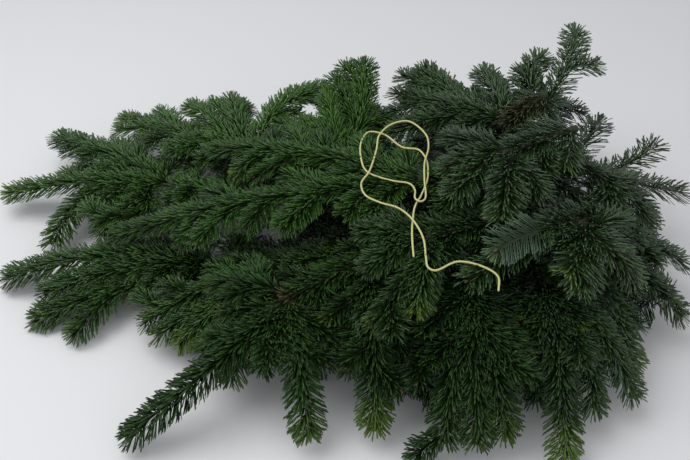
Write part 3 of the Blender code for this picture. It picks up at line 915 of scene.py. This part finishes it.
def woodMesh(name, shoots, butt, fork):
    # tapered stems with buds at their ends, as closed tubes
    points, corners, sizes, slots = [], [], [], []

    def addTube(line, radii, sides, slot, endSlot):
        first = len(points)
        ahead = np.gradient(line, axis=0)
        for place, direction, radius in zip(line, ahead, radii):
            direction = direction / np.linalg.norm(direction)
            side = np.array((-direction[1], direction[0], 0.0)) + 1e-6
            side /= np.linalg.norm(side)
            up = np.cross(direction, side)
            for corner in range(sides):
                angle = 2 * math.pi * corner / sides
                points.append(place + (side * math.cos(angle) + up * math.sin(angle)) * radius)
        for ring in range(len(line) - 1):
            for corner in range(sides):
                after = (corner + 1) % sides
                low, high = first + ring * sides, first + (ring + 1) * sides
                corners.extend((low + corner, low + after, high + after, high + corner))
                sizes.append(4)
                slots.append(slot)
        corners.extend(range(first + sides - 1, first - 1, -1))
        corners.extend(range(len(points) - sides, len(points)))
        sizes.extend((sides, sides))
        slots.extend((endSlot, slot))

    barkSlot, budSlot, cutSlot = 0, 1, 2
    budShares, budWidths = np.array(wood["budShares"]), np.array(wood["budWidths"])
    for shoot in shoots:
        if not shoot["ends"]:
            continue
        stations = max(4, int(shoot["length"] / wood["ring"]))
        line = alongShoot(shoot, np.linspace(0, 1, stations))[0]
        radii = np.linspace(shoot["radius"], habit["tipRadius"], stations)
        addTube(line, radii, wood["sides"], barkSlot, barkSlot)
        tip, ahead, left = alongShoot(shoot, [1.0])[:3]
        buds = [(0, 1.0)]
        if shoot["radius"] >= habit["limbRadius"]:
            buds += [(1, wood["sideBud"]), (-1, wood["sideBud"])]
        for way, size in buds:
            heading = ahead[0] + left[0] * way * wood["sideBudSplay"]
            heading /= np.linalg.norm(heading)
            start = tip[0] + left[0] * way * wood["sideBudAway"]
            bud = start + heading * (budShares * wood["budLength"] * size)[:, None]
            addTube(bud, budWidths * wood["budRadius"] * size, wood["sides"], budSlot, budSlot)
    butt, fork = np.array(butt), np.array(fork)
    reach = fork + (fork - butt) / np.linalg.norm(fork - butt) * wood["pastFork"]
    line = butt + (reach - butt) * np.linspace(0, 1, wood["stemRings"])[:, None]
    radii = np.linspace(wood["buttRadius"], wood["forkRadius"], wood["stemRings"])
    addTube(line, radii, wood["stemSides"], barkSlot, cutSlot)
    points = np.array(points)
    points[:, 2] = np.maximum(points[:, 2], habit["floor"])
    mesh = meshFrom(name, points, corners, sizes, slots)
    mesh.shade_smooth()
    mesh.set_sharp_from_angle(angle=math.radians(50))
    return mesh


greens = {
    "deep": (0.003, 0.014, 0.002),
    "leaf": (0.040, 0.108, 0.020),
    "fresh": (0.066, 0.182, 0.018),
    "bloomAndSheen": (0.076, 0.124, 0.066),
    "under": (0.090, 0.145, 0.095),
    "rib": (0.025, 0.070, 0.022),
    "stalk": (0.016, 0.036, 0.005),
    "young": (0.150, 0.250, 0.028),
    "dry": (0.085, 0.054, 0.022),
}
browns = {
    "bark": (0.008, 0.014, 0.004),
    "barkRidge": (0.028, 0.036, 0.012),
    "barkPatch": (0.050, 0.036, 0.016),
    "bud": (0.045, 0.028, 0.010),
    "budScale": (0.12, 0.075, 0.030),
    "cut": (0.46, 0.33, 0.18),
    "cutRing": (0.62, 0.49, 0.31),
}


def makeNeedleMaterial(name, look):
    fixed = {"Roughness": 0.27, "Specular IOR Level": look["gloss"]}
    material, sky, shader = newMaterial(name, fixed)
    toneAndShade, along = sky.attribute("toneAndShade"), sky.attribute("along")
    patch = sky.noise(14.0, 2.0)
    # painted light and shade: each bough's own factor makes its green lighter or darker
    top = sky.blend((toneAndShade * look["paintedLight"]).clamped(), greens["deep"], greens["leaf"])
    # partly the needles' cool bloom, partly painted sheen: a blue-grey on the brighter needles
    top = sky.blend(((patch * 0.7 + toneAndShade - 0.45) * look["bloomAndSheen"]).clamped(), top, greens["bloomAndSheen"])
    top = sky.blend((patch * 0.6 + toneAndShade * 0.5) * look["fresh"], top, greens["fresh"])
    top = sky.blend(sky.attribute("young") * 0.85, top, greens["young"])
    top = sky.blend((0.35 - along).clamped() * 2.4, top, greens["stalk"])    # near the wood
    under = sky.blend(sky.attribute("rib") * 0.8, greens["under"], greens["rib"])
    colour = sky.blend(sky.attribute("under"), top, under)
    colour = sky.blend(sky.attribute("dry"), colour, greens["dry"])
    feed(shader, "Base Color", colour)
    return material


def makeBarkMaterial():
    material, sky, shader = newMaterial("bark", {"Roughness": 0.8})
    grain = sky.noise(260.0, 4.0, 0.65)
    patches = sky.noise(40.0, 2.0)
    colour = sky.blend(grain, browns["bark"], browns["barkRidge"])
    colour = sky.blend((patches - 0.5).clamped() * 2.0, colour, browns["barkPatch"])
    feed(shader, "Base Color", colour)
    feed(shader, "Normal", sky.bump(grain, 0.5, 0.0006))
    return material


def makeBudMaterial():
    material, sky, shader = newMaterial("buds", {"Roughness": 0.45, "Coat Weight": 0.3})
    scales = sky.noise(900.0, 2.0)
    feed(shader, "Base Color", sky.blend(scales, browns["bud"], browns["budScale"]))
    feed(shader, "Normal", sky.bump(scales, 0.5, 0.0003))
    return material


def makeCutMaterial():
    material, sky, shader = newMaterial("cut_wood", {"Roughness": 0.7})
    feed(shader, "Base Color", sky.blend(sky.noise(700.0, 2.0), browns["cut"], browns["cutRing"]))
    return material


def dressBoughs():
    woodMaterials = [makeBarkMaterial(), makeBudMaterial(), makeCutMaterial()]
    grown = {}
    dressed = {name: {**plainLook, **look} for name, look in looks.items()}
    for number, (name, bough) in enumerate(boughs.items()):
        grown[name] = growBough(bough, np.random.default_rng(seeds["growth"] + number))
        look = dressed[name]
        grown[name][0].update(dry=look["dryStem"], dryEnd=look["dryFork"])
        for shoot in grown[name]:
            if np.allclose(shoot["start"], bough["fork"], atol=0.0005):
                shoot["dryStart"] = look["dryFork"]
    fillGaps(grown)
    planned = 0
    for name, shoots in grown.items():
        for shoot in shoots:
            planned += needleCount(shoot, dressed[name])
    share = min(1, needle["most"] / planned)
    print("needles planned:", int(planned))
    total = 0
    for number, (name, bough) in enumerate(boughs.items()):
        draw = np.random.default_rng(seeds["needles"] + number)
        shoots, look = grown[name], dressed[name]
        parts = [needlesOf(shoot, int(share * needleCount(shoot, look)), look["long"], draw)
                 for shoot in shoots]
        needles = {key: np.concatenate([part[key] for part in parts]) for key in parts[0]}
        slot = "fresh_needles" if look["fresh"] > 0.4 else "needles"
        nodes = [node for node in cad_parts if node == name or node.startswith(name + "_")]
        mesh = needleMesh(name + "_needles", needles)
        green = makeNeedleMaterial(name + "_green", look)
        addPiece(name + "_needles", mesh, [green], nodes)
        mesh = woodMesh(name + "_wood", shoots, bough["butt"], bough["fork"])
        addPiece(name + "_wood", mesh, woodMaterials)
        total += len(needles["length"])
    print(len(boughs), "boughs dressed with", total, "needles")


dressBoughs()


# Pale floor, soft light from above and the left
studio = {
    "floorSize": 12,
    "floorColour": (0.76, 0.76, 0.77),
    "skyColour": (0.95, 0.97, 1.0),
    "skyStrength": 0.50,
    "lamps": [
        # name, place, size, power
        ("key", (-0.9, -0.20, 1.9), 1.8, 26.0),
        ("fill", (0.7, -1.5, 1.5), 2.2, 7.0),
    ],
}


def makeStudio():
    bpy.ops.mesh.primitive_plane_add(size=studio["floorSize"], location=(0, 0, 0))
    floor = bpy.context.object
    floor.name = "floor"
    material, sky, shader = newMaterial("floor", {"Roughness": 0.6})
    shader.inputs["Base Color"].default_value = (*studio["floorColour"], 1)
    floor.data.materials.append(material)
    world = bpy.data.worlds.new("soft_room")
    scene.world = world
    world.use_nodes = True
    backdrop = world.node_tree.nodes["Background"]
    backdrop.inputs["Color"].default_value = (*studio["skyColour"], 1)
    backdrop.inputs["Strength"].default_value = studio["skyStrength"]
    for name, place, size, power in studio["lamps"]:
        lamp = bpy.data.objects.new(name, bpy.data.lights.new(name, "AREA"))
        scene.collection.objects.link(lamp)
        lamp.location = place
        lamp.rotation_euler = (-Vector(place)).to_track_quat("-Z", "Y").to_euler()
        lamp.data.size = size
        lamp.data.energy = power


makeStudio()
print("studio lit")
